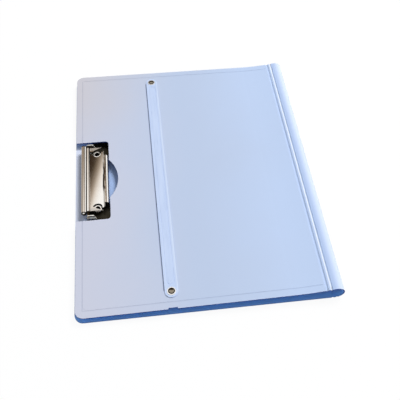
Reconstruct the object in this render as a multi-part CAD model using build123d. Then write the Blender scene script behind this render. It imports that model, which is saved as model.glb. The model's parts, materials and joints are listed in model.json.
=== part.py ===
from build123d import *
import math
import os

os.makedirs("parts", exist_ok=True)

# Frame: millimetres, +Z up. The origin is under the middle of the closed folder, on the table.
# The clip edge is at -X, the spine at +X, and the folder's long side runs along Y.

# Folder leaves
leaf_length = 315.0
closed_width = 250.0
leaf_corner_radius = 8.0
board_thickness = 2.0
cover_thickness = 1.2
cover_setback = 1.4

# Spine shell: a half-round of sheet with a short flat flange on the cover side
spine_radius = 8.5
spine_wall = 1.2
spine_start_deg = -72.0
flange_width = 3.9
flange_slope_deg = 10.0

# Strips between each pair of score lines
rear_strip_width = 3.9
front_strip_width = 4.1
front_strip_slope_deg = 12.0

# Cover's section: it leaves the front strip at one slope and eases into a flatter one
cover_end_slope_deg = 8.7
cover_slope_deg = 0.9
cover_bend_radius = 227.0

# Score lines: V grooves cut from the outer face
groove_half_angle_deg = 47.0
groove_root_gap = 0.12

# Pressed border line on the cover
border_edge_inset = 6.5
border_clip_inset = 5.9
border_width = 1.0
border_depth = 0.12
border_corner_radius = 5.0

# Clip window in the cover, its thumb notch, and the small notch in the near edge
window_clearance = 0.8
window_end_clearance = 4.5
window_corner_radius = 3.5
thumb_notch_depth = 8.9
thumb_notch_radius = 39.9
edge_notch_width = 8.8
edge_notch_depth = 1.3
edge_notch_radius = 0.5

# Strap and its two rivets
strap_from_clip_edge = 87.4
strap_width = 12.5
strap_thickness = 0.9
strap_rivet_edge_margin = 17.5
strap_line_inset = 2.4
strap_line_width = 0.8
strap_line_depth = 0.2
strap_cap_radius = 4.2
strap_cap_rim_height = 0.5
strap_dome_radius = 3.3
strap_dome_height = 1.6
strap_cap_hole_radius = 0.9
strap_post_radius = 1.5
strap_post_flange_radius = 3.6
strap_post_flange_thickness = 0.6
strap_post_flange_chamfer = 0.2
rivet_hole_clearance = 0.15
rivet_stem_clearance = 0.05

# Clip base plate
clip_sheet = 0.8
clip_pin_from_edge = 13.6
clip_pin_height = 4.7
base_half_length = 47.5
base_behind_pin = 2.0
base_ahead_of_pin = 21.4
base_tab_from_pin = 2.3
base_tab_length = 9.7
base_corner_radius = 4.0
ear_behind_pin = 1.7
ear_ahead_of_pin = 5.8
ear_foot_reach = 8.8
ear_above_pin = 3.8
ear_corner_radius = 2.4

# Hinge pin
pin_radius = 1.0
pin_head_radius = 1.6
pin_head_thickness = 0.5
pin_running_clearance = 0.06

# Clip eyelets on their raised cups
eyelet_from_pin = 9.4
eyelet_half_spacing = 36.2
eyelet_ring_radius = 4.4
eyelet_ring_height = 1.15
eyelet_bore_radius = 2.2
eyelet_wall = 0.5
eyelet_flare_radius = 4.2
eyelet_flare_thickness = 0.35
eyelet_flare_recess = 0.12
cup_height = 4.2
cup_radius = 4.4
washer_radius = 5.4
washer_thickness = 0.45
washer_pocket_clearance = 0.3

# Jaw: rolled edge, ridge, dished valley, end horns and lip, measured from the pin
jaw_half_length = 41.9
roll_behind_pin = 4.0
roll_above_pin = 3.6
roll_radius = 2.7
roll_wall = 0.7
roll_half_length = 44.4
roll_dome_radius = 2.25
roll_dome_inset = 0.5
roll_slit_width = 0.6
roll_slit_deg = -80.0
roll_join_deg = -35.0
ridge_start_height = 4.1
ridge_crest_from_pin = 0.9
ridge_crest_height = 4.7
ridge_bend_radius = 0.5
valley_start_from_pin = 2.3
valley_start_height = 2.9
valley_floor_from_pin = 8.6
valley_floor_height = 1.7
valley_end_from_pin = 15.9
valley_end_height = 3.4
valley_end_drop = 1.05
valley_inset = 2.4
valley_front_inset = 4.7
lip_crown_from_pin = 16.9
lip_crown_height = 3.7
lip_from_pin = 21.0
lip_bend_radius = 3.6
lip_half_length = 31.7
lip_gap = 0.3
horn_height = 3.9
horn_root_width = 5.1
horn_root_reach = 5.2
horn_middle_width = 2.4
horn_tip_from_pin = 15.6
eyelet_clearance = 0.5
lug_radius = 2.4
lug_reach = 5.8
lug_foot = 1.2

# Torsion springs on the pin
spring_wire_radius = 0.4
spring_mean_radius = 1.95
spring_turns = 5
spring_pitch = 1.3
spring_half_spacing = 14.0
spring_front_leg = 11.0
spring_front_leg_slope_deg = 11.0
spring_rear_leg = 1.0

# Heights and places that follow from the values above
board_edge_x = -closed_width / 2
cover_edge_x = board_edge_x + cover_setback
leaf_half = leaf_length / 2
strap_rivet_half_spacing = leaf_half - strap_rivet_edge_margin
spine_axis_x = closed_width / 2 - spine_radius
spine_axis_z = spine_radius
spine_inner_radius = spine_radius - spine_wall
pin_x = board_edge_x + clip_pin_from_edge
pin_z = board_thickness + clip_sheet + clip_pin_height
base_top_z = board_thickness + clip_sheet
eyelet_x = pin_x + eyelet_from_pin
strap_x = cover_edge_x + strap_from_clip_edge
overcut = 1.0


def polar(centre, radius, degrees):
    """Point at an angle on a circle, in a section's X and Z."""
    a = math.radians(degrees)
    return (centre[0] + radius * math.cos(a), centre[1] + radius * math.sin(a))


def step(point, length, degrees):
    """Point a given length away from another, along a slope."""
    return polar(point, length, degrees)


def section_run(section, half_length, middle_y=0.0):
    """Run a section drawn in X and Z along Y, the same length each way."""
    return Pos(0, middle_y, 0) * extrude(Plane.XZ * section, amount=half_length, both=True)


def plan_block(outline, low_z, high_z):
    """Block over a plan outline between two heights."""
    return Pos(0, 0, low_z) * extrude(outline, amount=high_z - low_z)


def rectangle_between(x0, x1, half_y):
    """Plan rectangle between two X values, centred on Y."""
    return Pos((x0 + x1) / 2, 0) * Rectangle(x1 - x0, 2 * half_y)


def one_solid(shape):
    """The single solid that a shape is made of."""
    solids = shape.solids()
    assert len(solids) == 1, len(solids)
    return solids[0]


# Fold lines, each on the inner face of the sheet
rear_inner_fold = polar((spine_axis_x, spine_axis_z), spine_inner_radius, spine_start_deg)
rear_rise = rear_inner_fold[1] - spine_wall
rear_slope_deg = math.degrees(math.asin(rear_rise / rear_strip_width))
rear_outer_fold = step(rear_inner_fold, rear_strip_width, 180 + rear_slope_deg)
flange_start_deg = 90 + flange_slope_deg
flange_start = polar((spine_axis_x, spine_axis_z), spine_inner_radius, flange_start_deg)
front_inner_fold = step(flange_start, flange_width, 180 + flange_slope_deg)
front_outer_fold = step(front_inner_fold, front_strip_width, 180 + front_strip_slope_deg)


def fold_groove(fold, slope_deg, outward):
    """Section of the V groove at a fold: its root on the inner face, open on the outer face."""
    g = groove_root_gap / 2
    deep = 2 * board_thickness
    spread = deep * math.tan(math.radians(groove_half_angle_deg))
    corners = [(-g, -deep), (g, -deep), (g, 0), (g + spread, deep), (-g - spread, deep), (-g, 0)]
    corners = [(u, outward * v) for u, v in corners]
    outline = make_face(Polyline(*corners, close=True))
    return Pos(fold[0], fold[1]) * Rot(0, 0, slope_deg) * outline


# The groove at each fold sits square to the mean of the two slopes that meet there
rear_outer_groove = fold_groove(rear_outer_fold, rear_slope_deg / 2, -1)
rear_inner_groove = fold_groove(rear_inner_fold, (rear_slope_deg + spine_start_deg + 90) / 2, -1)
front_inner_groove = fold_groove(front_inner_fold, (flange_slope_deg + front_strip_slope_deg) / 2, 1)
front_outer_groove = fold_groove(front_outer_fold, (front_strip_slope_deg + cover_end_slope_deg) / 2, 1)


def strip_section(start, end, slope_deg, outward):
    """Flat strip of sheet between two folds on its inner face."""
    start_out = step(start, spine_wall, slope_deg + 90 * outward)
    end_out = step(end, spine_wall, slope_deg + 90 * outward)
    return make_face(Polyline(start, end, end_out, start_out, close=True))


def spine_section():
    """Half-round shell from the rear fold, round the nose, to the end of the flat flange."""
    axis = (spine_axis_x, spine_axis_z)
    mid_deg = (spine_start_deg + flange_start_deg) / 2
    inner_arc = ThreePointArc(
        rear_inner_fold, polar(axis, spine_inner_radius, mid_deg), flange_start
    )
    outer_arc = ThreePointArc(
        polar(axis, spine_radius, spine_start_deg),
        polar(axis, spine_radius, mid_deg),
        polar(axis, spine_radius, flange_start_deg),
    )
    flange_end_out = step(front_inner_fold, spine_wall, 90 + flange_slope_deg)
    lines = [
        inner_arc,
        Line(flange_start, front_inner_fold),
        Line(front_inner_fold, flange_end_out),
        Line(flange_end_out, outer_arc @ 1),
        outer_arc,
        Line(outer_arc @ 0, rear_inner_fold),
    ]
    return make_face(lines)


def cover_section(low, high):
    """Section of the cover between two heights above its inner face."""
    centre = step(front_outer_fold, cover_bend_radius, 90 + cover_end_slope_deg)

    def bend_point(height, slope_deg):
        return polar(centre, cover_bend_radius - height, slope_deg - 90)

    mid_slope = (cover_end_slope_deg + cover_slope_deg) / 2
    flat_start_x = bend_point(0, cover_slope_deg)[0]
    flat_length = (flat_start_x - cover_edge_x) / math.cos(math.radians(cover_slope_deg))

    def edge_point(height):
        return step(bend_point(height, cover_slope_deg), flat_length, 180 + cover_slope_deg)

    lines = [
        Line(edge_point(low), bend_point(low, cover_slope_deg)),
        ThreePointArc(
            bend_point(low, cover_slope_deg),
            bend_point(low, mid_slope),
            bend_point(low, cover_end_slope_deg),
        ),
        Line(bend_point(low, cover_end_slope_deg), bend_point(high, cover_end_slope_deg)),
        ThreePointArc(
            bend_point(high, cover_end_slope_deg),
            bend_point(high, mid_slope),
            bend_point(high, cover_slope_deg),
        ),
        Line(bend_point(high, cover_slope_deg), edge_point(high)),
        Line(edge_point(high), edge_point(low)),
    ]
    return make_face(lines), edge_point(low)


# The flat of the cover, and a height above everything, for cuts that go right through
cover_profile, cover_edge_low = cover_section(0, cover_thickness)
cover_flat = Pos(cover_edge_low[0], 0, cover_edge_low[1]) * Rot(0, -cover_slope_deg, 0)
cover_top_z = spine_axis_z + 2 * spine_radius


def on_cover(distance_from_edge, y, height):
    """Place on the flat of the cover, at a height above its inner face."""
    return cover_flat * Pos(distance_from_edge, y, height)


def leaf_outline(edge_x, spine_side_x):
    """Plan outline of a leaf, rounded at its two corners on the clip edge."""
    outline = rectangle_between(edge_x, spine_side_x, leaf_half)
    corners = outline.vertices().group_by(Axis.X)[0]
    return fillet(corners, radius=leaf_corner_radius)


def window_outline():
    """Plan outline of the clip window: open at the clip edge, with the thumb notch."""
    lip_outer_x = pin_x + lip_from_pin + clip_sheet / 2
    right_x = lip_outer_x + window_clearance
    window = rectangle_between(board_edge_x - overcut, right_x, base_half_length + window_end_clearance)
    window = fillet(window.vertices().group_by(Axis.X)[-1], radius=window_corner_radius)
    notch_x = right_x + thumb_notch_depth - thumb_notch_radius
    notch = Pos(notch_x, 0) * Circle(thumb_notch_radius)
    notch = notch & rectangle_between(right_x - overcut, notch_x + thumb_notch_radius + overcut, leaf_half)
    return window + notch


def border_outline(fold_x):
    """Band for the pressed border line: three sides of a frame that runs out past the fold."""
    left = cover_edge_x + border_clip_inset
    right = fold_x + 2 * border_corner_radius
    outer = rectangle_between(left, right, leaf_half - border_edge_inset)
    outer = fillet(outer.vertices().group_by(Axis.X)[0], radius=border_corner_radius)
    return outer - offset(outer, amount=-border_width)


def make_back_board():
    """Lower leaf: flat, thick, with pockets underneath for the clip's washers."""
    section = make_face(
        Polyline(
            (board_edge_x, 0),
            (rear_outer_fold[0], 0),
            (rear_outer_fold[0], board_thickness),
            (board_edge_x, board_thickness),
            close=True,
        )
    )
    board = section_run(section - rear_outer_groove, leaf_half)
    board &= plan_block(leaf_outline(board_edge_x, closed_width), -overcut, board_thickness + overcut)
    pocket_depth = washer_thickness + eyelet_flare_thickness + eyelet_flare_recess
    bore = eyelet_bore_radius + eyelet_wall + rivet_hole_clearance
    for side in (-1, 1):
        place = Pos(eyelet_x, side * eyelet_half_spacing, 0)
        board -= place * Cylinder(bore, 4 * board_thickness)
        board -= place * Cylinder(washer_radius + washer_pocket_clearance, 2 * pocket_depth)
    return one_solid(board), pocket_depth


def make_rear_fold_strip():
    """Narrow strip between the two score lines under the spine."""
    section = strip_section(rear_outer_fold, rear_inner_fold, rear_slope_deg, -1)
    return one_solid(section_run(section - rear_outer_groove - rear_inner_groove, leaf_half))


def make_spine():
    """Half-round spine."""
    section = spine_section() - rear_inner_groove - front_inner_groove
    return one_solid(section_run(section, leaf_half))


def make_front_fold_strip():
    """Narrow strip between the two score lines on top of the spine."""
    section = strip_section(front_outer_fold, front_inner_fold, front_strip_slope_deg, 1)
    return one_solid(section_run(section - front_outer_groove - front_inner_groove, leaf_half))


def make_front_cover():
    """Upper leaf, with the window, the notches, the border line and the strap's rivet holes."""
    cover = section_run(cover_profile - front_outer_groove, leaf_half)
    cover &= plan_block(leaf_outline(cover_edge_x, closed_width), -overcut, cover_top_z)
    cover -= plan_block(window_outline(), -overcut, cover_top_z)
    notch = Rectangle(edge_notch_width, 2 * edge_notch_depth)
    notch = fillet(notch.vertices(), radius=edge_notch_radius)
    cover -= plan_block(Pos(strap_x, -leaf_half) * notch, -overcut, cover_top_z)
    line_section, _ = cover_section(cover_thickness - border_depth, cover_thickness + overcut)
    line_layer = section_run(line_section, leaf_half)
    line_ring = plan_block(border_outline(front_outer_fold[0]), -overcut, cover_top_z)
    cover -= line_layer & line_ring
    for side in (-1, 1):
        hole = Cylinder(strap_post_radius + rivet_hole_clearance, 4 * cover_thickness)
        cover -= on_cover(strap_from_clip_edge, side * strap_rivet_half_spacing, 0) * hole
    return one_solid(cover)


def make_retaining_strap():
    """Long round-ended strap that lies on the cover, with a pressed loop line inside its edge."""
    cap = strap_width / 2
    outline = SlotCenterToCenter(2 * strap_rivet_half_spacing, strap_width, rotation=90)
    strap = extrude(outline, amount=strap_thickness)
    loop_width = strap_width - 2 * strap_line_inset
    loop_length = 2 * (strap_rivet_half_spacing - cap - strap_cap_radius)
    loop = SlotCenterToCenter(loop_length, loop_width, rotation=90)
    loop -= SlotCenterToCenter(loop_length, loop_width - 2 * strap_line_width, rotation=90)
    strap -= Pos(0, 0, strap_thickness - strap_line_depth) * extrude(loop, amount=strap_thickness)
    for side in (-1, 1):
        hole = Cylinder(strap_post_radius + rivet_hole_clearance, 4 * strap_thickness)
        strap -= Pos(0, side * strap_rivet_half_spacing, 0) * hole
    return one_solid(on_cover(strap_from_clip_edge, 0, cover_thickness) * strap)


def strap_rivet_places():
    """The two rivets, each placed on the cover's inner face with its axis square to the sheet."""
    return [on_cover(strap_from_clip_edge, side * strap_rivet_half_spacing, 0) for side in (-1, 1)]


def make_strap_rivet_caps():
    """Domed caps on the strap, each with a short stem that receives the post from below."""
    seat = cover_thickness + strap_thickness
    rim_top = seat + strap_cap_rim_height
    rise = strap_dome_height - strap_cap_rim_height
    ball_radius = (strap_dome_radius**2 + rise**2) / (2 * rise)
    dome = Pos(0, 0, seat + strap_dome_height - ball_radius) * Sphere(ball_radius)
    dome &= Pos(0, 0, rim_top + rise / 2) * Cylinder(strap_dome_radius, rise)
    rim = Pos(0, 0, seat + strap_cap_rim_height / 2) * Cylinder(strap_cap_radius, strap_cap_rim_height)
    rim = fillet(rim.edges().filter_by(GeomType.CIRCLE).group_by(Axis.Z)[-1], radius=strap_cap_rim_height / 2)
    cap = rim + dome
    stem_length = seat - rivet_hole_clearance
    stem = Pos(0, 0, seat - stem_length / 2) * Cylinder(strap_post_radius, stem_length)
    socket = Pos(0, 0, seat - stem_length / 2) * Cylinder(strap_cap_hole_radius, stem_length)
    cap = cap + stem - socket
    return Compound([one_solid(place * cap) for place in strap_rivet_places()])


def make_strap_rivet_posts():
    """Inner halves of the strap rivets: a thin flange under the cover and a post in the cap's stem."""
    thickness = strap_post_flange_thickness
    flange = Pos(0, 0, -thickness / 2) * Cylinder(strap_post_flange_radius, thickness)
    low_rim = flange.edges().filter_by(GeomType.CIRCLE).group_by(Axis.Z)[0]
    flange = chamfer(low_rim, length=strap_post_flange_chamfer)
    post_length = cover_thickness + strap_thickness - rivet_hole_clearance
    radius = strap_cap_hole_radius - rivet_stem_clearance
    post = Pos(0, 0, post_length / 2) * Cylinder(radius, post_length)
    return Compound([one_solid(place * (flange + post)) for place in strap_rivet_places()])


def ear_outline():
    """Section of an end ear of the clip's base plate, drawn in X and Z from the pin."""
    foot = -clip_pin_height
    ear = make_face(
        Polyline(
            (-ear_behind_pin, foot),
            (ear_foot_reach, foot),
            (ear_ahead_of_pin, ear_above_pin),
            (-ear_behind_pin, ear_above_pin),
            close=True,
        )
    )
    top_corners = ear.vertices().group_by(Axis.Y)[-1]
    return fillet(top_corners, radius=ear_corner_radius)


def make_clip_base_plate():
    """Base plate on the board: end ears for the pin and two raised cups for the eyelets."""
    front_x = pin_x + base_ahead_of_pin
    outline = rectangle_between(pin_x + base_tab_from_pin, front_x, base_half_length + base_tab_length)
    outline = fillet(outline.vertices(), radius=base_corner_radius)
    outline += rectangle_between(pin_x - base_behind_pin, pin_x + ear_foot_reach, base_half_length)
    base = plan_block(outline, board_thickness, base_top_z)
    cup_bore = eyelet_bore_radius + eyelet_wall + rivet_hole_clearance
    ear = Pos(pin_x, pin_z) * ear_outline()
    for side in (-1, 1):
        base += section_run(ear, clip_sheet / 2, side * (base_half_length - clip_sheet / 2))
        place = Pos(eyelet_x, side * eyelet_half_spacing, base_top_z)
        base += place * Pos(0, 0, cup_height / 2) * Cylinder(cup_radius, cup_height)
    for side in (-1, 1):
        place = Pos(eyelet_x, side * eyelet_half_spacing, board_thickness)
        base -= place * Pos(0, 0, cup_height / 2) * Cylinder(cup_radius - clip_sheet, cup_height)
        base -= place * Cylinder(cup_bore, 4 * cup_height)
    base -= Pos(pin_x, 0, pin_z) * Rot(90, 0, 0) * Cylinder(pin_radius, 4 * base_half_length)
    return one_solid(base)


def make_clip_eyelets():
    """Tubular eyelets: a rolled ring on the cup, a barrel through it, and a flare under the board."""
    ring_z = base_top_z + cup_height
    ring_mid = (eyelet_bore_radius + eyelet_ring_radius) / 2
    barrel = eyelet_bore_radius + eyelet_wall
    pocket_roof = back_pocket_depth
    flare_top = pocket_roof - washer_thickness
    flare_low = flare_top - eyelet_flare_thickness
    lines = [
        Line((eyelet_bore_radius, flare_low), (eyelet_bore_radius, ring_z)),
        ThreePointArc(
            (eyelet_bore_radius, ring_z),
            (ring_mid, ring_z + eyelet_ring_height),
            (eyelet_ring_radius, ring_z),
        ),
        Line((eyelet_ring_radius, ring_z), (barrel, ring_z)),
        Line((barrel, ring_z), (barrel, flare_top)),
        Line((barrel, flare_top), (eyelet_flare_radius, flare_top)),
        Line((eyelet_flare_radius, flare_top), (eyelet_flare_radius, flare_low)),
        Line((eyelet_flare_radius, flare_low), (eyelet_bore_radius, flare_low)),
    ]
    eyelet = revolve(Plane.XZ * make_face(lines), Axis.Z)
    return Compound([one_solid(Pos(eyelet_x, side * eyelet_half_spacing, 0) * eyelet) for side in (-1, 1)])


def make_clip_eyelet_washers():
    """Flat washers between the board and the eyelets' flares."""
    middle_z = back_pocket_depth - washer_thickness / 2
    bore = eyelet_bore_radius + eyelet_wall + rivet_hole_clearance
    washer = Cylinder(washer_radius, washer_thickness) - Cylinder(bore, 2 * washer_thickness)
    return Compound(
        [one_solid(Pos(eyelet_x, side * eyelet_half_spacing, middle_z) * washer) for side in (-1, 1)]
    )


def make_clip_hinge_pin():
    """Pin through the base plate's ears, with a peened head outside each ear."""
    length = base_half_length + pin_head_thickness
    pin = Cylinder(pin_radius, 2 * length)
    for side in (-1, 1):
        head = Cylinder(pin_head_radius, pin_head_thickness)
        pin += Pos(0, 0, side * (base_half_length + pin_head_thickness / 2)) * head
    end_edges = pin.edges().filter_by(GeomType.CIRCLE)
    outer = end_edges.group_by(Axis.Z)[0] + end_edges.group_by(Axis.Z)[-1]
    pin = fillet(outer, radius=pin_head_thickness / 2)
    return one_solid(Pos(pin_x, 0, pin_z) * Rot(90, 0, 0) * pin)


def sheet_along(path):
    """Section of the jaw's sheet along a middle line drawn from the pin, with rounded ends."""
    return Pos(pin_x, pin_z) * make_face(offset(path, amount=clip_sheet / 2, side=Side.BOTH))


def jaw_ridge_path():
    """Middle line from the rolled edge, up over the ridge and down to the foot of the valley's wall."""
    join = polar((-roll_behind_pin, roll_above_pin), roll_radius - roll_wall / 2, roll_join_deg)
    climb = (ridge_start_height - join[1]) / math.cos(math.radians(roll_join_deg))
    return FilletPolyline(
        join,
        step(join, climb, 90 + roll_join_deg),
        (ridge_crest_from_pin, ridge_crest_height),
        (valley_start_from_pin, valley_start_height - valley_end_drop),
        radius=[ridge_bend_radius, ridge_bend_radius],
    )


def jaw_lip_path():
    """Middle line from the foot of the valley's far wall, over the crown and down the lip."""
    return FilletPolyline(
        (valley_end_from_pin, valley_end_height - valley_end_drop),
        (lip_crown_from_pin, lip_crown_height),
        (lip_from_pin, lip_crown_height),
        (lip_from_pin, -clip_pin_height + lip_gap + clip_sheet / 2),
        radius=[ridge_bend_radius, lip_bend_radius],
    )


def make_jaw_valley():
    """Dished sheet between the ridge and the lip, which falls a little from its middle to its ends."""
    arc = ThreePointArc(
        (valley_start_from_pin, valley_start_height),
        (valley_floor_from_pin, valley_floor_height),
        (valley_end_from_pin, valley_end_height),
    )
    sweep_radius = (jaw_half_length**2 + valley_end_drop**2) / (2 * valley_end_drop)
    axis = Axis((0, 0, pin_z + valley_floor_height - sweep_radius), (1, 0, 0))
    turn = math.degrees(math.asin(jaw_half_length / sweep_radius))
    section = (Plane.XZ * sheet_along(arc)).rotate(axis, -turn)
    return revolve(section, axis, 2 * turn)


def jaw_lug_outline():
    """Section of a lug that hangs from the end of the jaw and turns on the pin."""
    slant = lug_radius * math.sin(math.radians(45))
    lug = make_face(
        Polyline(
            (-slant, slant),
            (-clip_sheet / 2, ridge_start_height),
            (ridge_crest_from_pin, ridge_start_height),
            (valley_start_from_pin, horn_height),
            (lug_reach, horn_height),
            (lug_reach, -lug_foot),
            (slant, -slant),
            close=True,
        )
    )
    return lug + Circle(lug_radius)


def horn_outline():
    """Plan outline of the pointed horn at one end of the jaw, with its inner edge round the eyelet."""
    root_x = pin_x + ridge_crest_from_pin
    inner_x = pin_x + horn_root_reach
    tip = (pin_x + horn_tip_from_pin, jaw_half_length)
    inner = (inner_x, jaw_half_length - horn_root_width)
    return make_face(
        [
            Line((root_x, jaw_half_length), tip),
            ThreePointArc(tip, (eyelet_x, jaw_half_length - horn_middle_width), inner),
            Line(inner, (root_x, inner[1])),
            Line((root_x, inner[1]), (root_x, jaw_half_length)),
        ]
    )


def make_jaw_end(side):
    """One end of the jaw: a pointed horn above the eyelet, and a lug on the pin."""
    half_sheet = clip_sheet / 2
    horn_z = pin_z + horn_height
    horn = plan_block(horn_outline(), horn_z - half_sheet, horn_z + half_sheet)
    lug = section_run(Pos(pin_x, pin_z) * jaw_lug_outline(), half_sheet, jaw_half_length - half_sheet)
    end = horn + lug
    return end if side > 0 else mirror(end, about=Plane.XZ)


def make_clip_jaw():
    """Jaw plate: one sheet with a curled edge closed by domes, ridge, dished valley, lip and shaped ends."""
    plate = section_run(sheet_along(jaw_ridge_path()), jaw_half_length)
    lip = section_run(sheet_along(jaw_lip_path()), jaw_half_length)
    plate += lip + make_jaw_valley()
    top_z = 3 * pin_z
    keep = rectangle_between(board_edge_x, pin_x + valley_start_from_pin, jaw_half_length)
    keep += rectangle_between(board_edge_x, eyelet_x, jaw_half_length - valley_inset)
    keep += rectangle_between(board_edge_x, pin_x + lip_crown_from_pin, jaw_half_length - valley_front_inset)
    keep += rectangle_between(board_edge_x, pin_x + lip_from_pin + clip_sheet, lip_half_length)
    plate &= plan_block(keep, 0, top_z)
    roll_place = Pos(pin_x - roll_behind_pin, pin_z + roll_above_pin)
    bore = roll_place * Circle(roll_radius - roll_wall)
    plate -= section_run(bore, jaw_half_length + overcut)
    plate += section_run(roll_place * Circle(roll_radius) - bore, roll_half_length)
    slit = Rot(0, 0, roll_slit_deg) * Pos(roll_radius, 0) * Rectangle(3 * roll_wall, roll_slit_width)
    plate -= section_run(roll_place * slit, roll_half_length + overcut)
    for side in (-1, 1):
        dome_y = side * (roll_half_length - roll_dome_inset)
        plate += Pos(pin_x - roll_behind_pin, dome_y, pin_z + roll_above_pin) * Sphere(roll_dome_radius)
    hole = Cylinder(eyelet_ring_radius + eyelet_clearance, top_z)
    for side in (-1, 1):
        plate -= Pos(eyelet_x, side * eyelet_half_spacing, top_z / 2) * hole
    for side in (-1, 1):
        plate += make_jaw_end(side)
    lug_bore = Cylinder(pin_radius + pin_running_clearance, 4 * jaw_half_length)
    plate -= Pos(pin_x, 0, pin_z) * Rot(90, 0, 0) * lug_bore
    return one_solid(plate)


back_board, back_pocket_depth = make_back_board()


def biarc(start, start_dir, end, end_dir):
    """Two arcs that join two points and leave and arrive along given directions."""
    v = end - start
    t = start_dir + end_dir
    bend = 2 * (1 - start_dir.dot(end_dir))
    reach = (-v.dot(t) + math.sqrt(v.dot(t) ** 2 + bend * v.dot(v))) / bend
    knee_in = start + start_dir * reach
    knee_out = end - end_dir * reach
    middle = (knee_in + knee_out) * 0.5
    first = TangentArc(start, middle, tangent=start_dir)
    second = TangentArc(middle, end, tangent=knee_out - knee_in)
    return [first, second]


def spring_path(middle_y):
    """Wire's centre line: a leg to the base, the turns round the pin, and a leg up to the roll."""
    steps = 4 * spring_turns + 1
    start_deg = -90 - spring_front_leg_slope_deg
    step_deg = (360 * spring_turns + 90 - spring_front_leg_slope_deg) / steps
    step_rise = spring_pitch * step_deg / 360
    step_arc = spring_mean_radius * math.radians(step_deg)
    first_y = middle_y - step_rise * steps / 2

    def turn_point(k):
        x, z = polar((pin_x, pin_z), spring_mean_radius, start_deg - step_deg * k)
        return Vector(x, first_y + step_rise * k, z)

    def turn_direction(k):
        a = math.radians(start_deg - step_deg * k)
        return Vector(step_arc * math.sin(a), step_rise, -step_arc * math.cos(a)).normalized()

    edges = [Line(turn_point(0) - turn_direction(0) * spring_front_leg, turn_point(0))]
    for k in range(steps):
        edges += biarc(turn_point(k), turn_direction(k), turn_point(k + 1), turn_direction(k + 1))
    last = turn_point(steps)
    edges.append(Line(last, last + turn_direction(steps) * spring_rear_leg))
    return edges


def wire_gap(edges):
    """Least gap of the wire to its own next turns, measured on points along it."""
    points = []
    along = 0.0
    for edge in edges:
        count = max(4, int(edge.length / 0.3))
        for i in range(count):
            points.append((along + edge.length * i / count, edge @ (i / count)))
        along += edge.length
    skip = math.pi * spring_mean_radius
    least = min(
        (p - q).length for i, (s, p) in enumerate(points) for t, q in points[i + 1 :] if t - s > skip
    )
    return least - 2 * spring_wire_radius


def make_clip_springs():
    """Two torsion springs on the pin, one each side of the middle."""
    springs = []
    for side in (-1, 1):
        edges = spring_path(side * spring_half_spacing)
        print("spring wire least gap to itself, mm:", round(wire_gap(edges), 3))
        path = Wire([e.edge() if hasattr(e, "edge") else e for e in edges])
        start = Plane(origin=path @ 0, z_dir=path % 0)
        springs.append(one_solid(sweep(start * Circle(spring_wire_radius), path=path)))
    return Compound(springs)


parts = {
    "back_board": back_board,
    "rear_fold_strip": make_rear_fold_strip(),
    "spine": make_spine(),
    "front_fold_strip": make_front_fold_strip(),
    "front_cover": make_front_cover(),
    "retaining_strap": make_retaining_strap(),
    "strap_rivet_caps": make_strap_rivet_caps(),
    "strap_rivet_posts": make_strap_rivet_posts(),
    "clip_base_plate": make_clip_base_plate(),
    "clip_jaw": make_clip_jaw(),
    "clip_hinge_pin": make_clip_hinge_pin(),
    "clip_springs": make_clip_springs(),
    "clip_eyelets": make_clip_eyelets(),
    "clip_eyelet_washers": make_clip_eyelet_washers(),
}

for name, shape in parts.items():
    export_step(shape, f"parts/{name}.step")

print("fold lines, X and Z in mm:")
print("rear outer", rear_outer_fold, "rear inner", rear_inner_fold)
print("front inner", front_inner_fold, "front outer", front_outer_fold)
print("clip pin", pin_x, pin_z, "cover's inner face at the clip edge", cover_edge_low)
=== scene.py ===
import json
import math

import bmesh
import bpy
from mathutils import Matrix, Vector


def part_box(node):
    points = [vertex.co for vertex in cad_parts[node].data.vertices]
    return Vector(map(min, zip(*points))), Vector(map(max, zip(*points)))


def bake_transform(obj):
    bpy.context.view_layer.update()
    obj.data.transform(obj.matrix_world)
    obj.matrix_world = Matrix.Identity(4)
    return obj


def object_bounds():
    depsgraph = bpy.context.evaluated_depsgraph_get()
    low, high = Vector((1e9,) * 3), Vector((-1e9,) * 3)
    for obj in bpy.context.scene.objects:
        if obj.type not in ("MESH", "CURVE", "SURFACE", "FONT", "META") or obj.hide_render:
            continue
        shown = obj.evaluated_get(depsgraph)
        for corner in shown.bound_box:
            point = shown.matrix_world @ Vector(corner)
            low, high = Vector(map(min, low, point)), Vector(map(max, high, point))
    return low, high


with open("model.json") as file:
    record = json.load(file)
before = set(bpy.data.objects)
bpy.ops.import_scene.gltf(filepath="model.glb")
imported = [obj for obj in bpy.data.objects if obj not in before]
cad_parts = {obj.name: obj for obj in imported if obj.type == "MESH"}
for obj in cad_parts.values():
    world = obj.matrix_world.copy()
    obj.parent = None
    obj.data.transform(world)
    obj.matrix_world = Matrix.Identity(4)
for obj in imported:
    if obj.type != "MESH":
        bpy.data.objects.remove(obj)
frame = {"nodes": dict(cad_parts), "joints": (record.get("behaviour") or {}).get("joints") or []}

# The box of the solids, which sets the floor's footprint
solid_low, solid_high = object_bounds()

MM = 0.001
WHITE = (1.0, 1.0, 1.0, 1.0)
nodes = frame["nodes"]
joints = {joint["name"]: joint for joint in frame["joints"]}


def srgb(red, green, blue):
    """Linear colour of an 8-bit sRGB one."""
    def linear(value):
        value /= 255.0
        return value / 12.92 if value <= 0.04045 else ((value + 0.055) / 1.055) ** 2.4

    return (linear(red), linear(green), linear(blue), 1.0)


# Camera: its sensor spans the width of the frame
SENSOR_MM = 36.0
FOCAL_PX = 590.0
FRAME_PX = 400.0
CENTRE_PX = 223.88
CAMERA_PLACE = Vector((-49.370, -396.571, 498.804)) * MM
CAMERA_PITCH = 0.9303275
CAMERA_YAW = 0.2095304
CAMERA_ROLL = -0.0883506
CAMERA_NEAR = 0.01
CAMERA_FAR = 50.0

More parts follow.
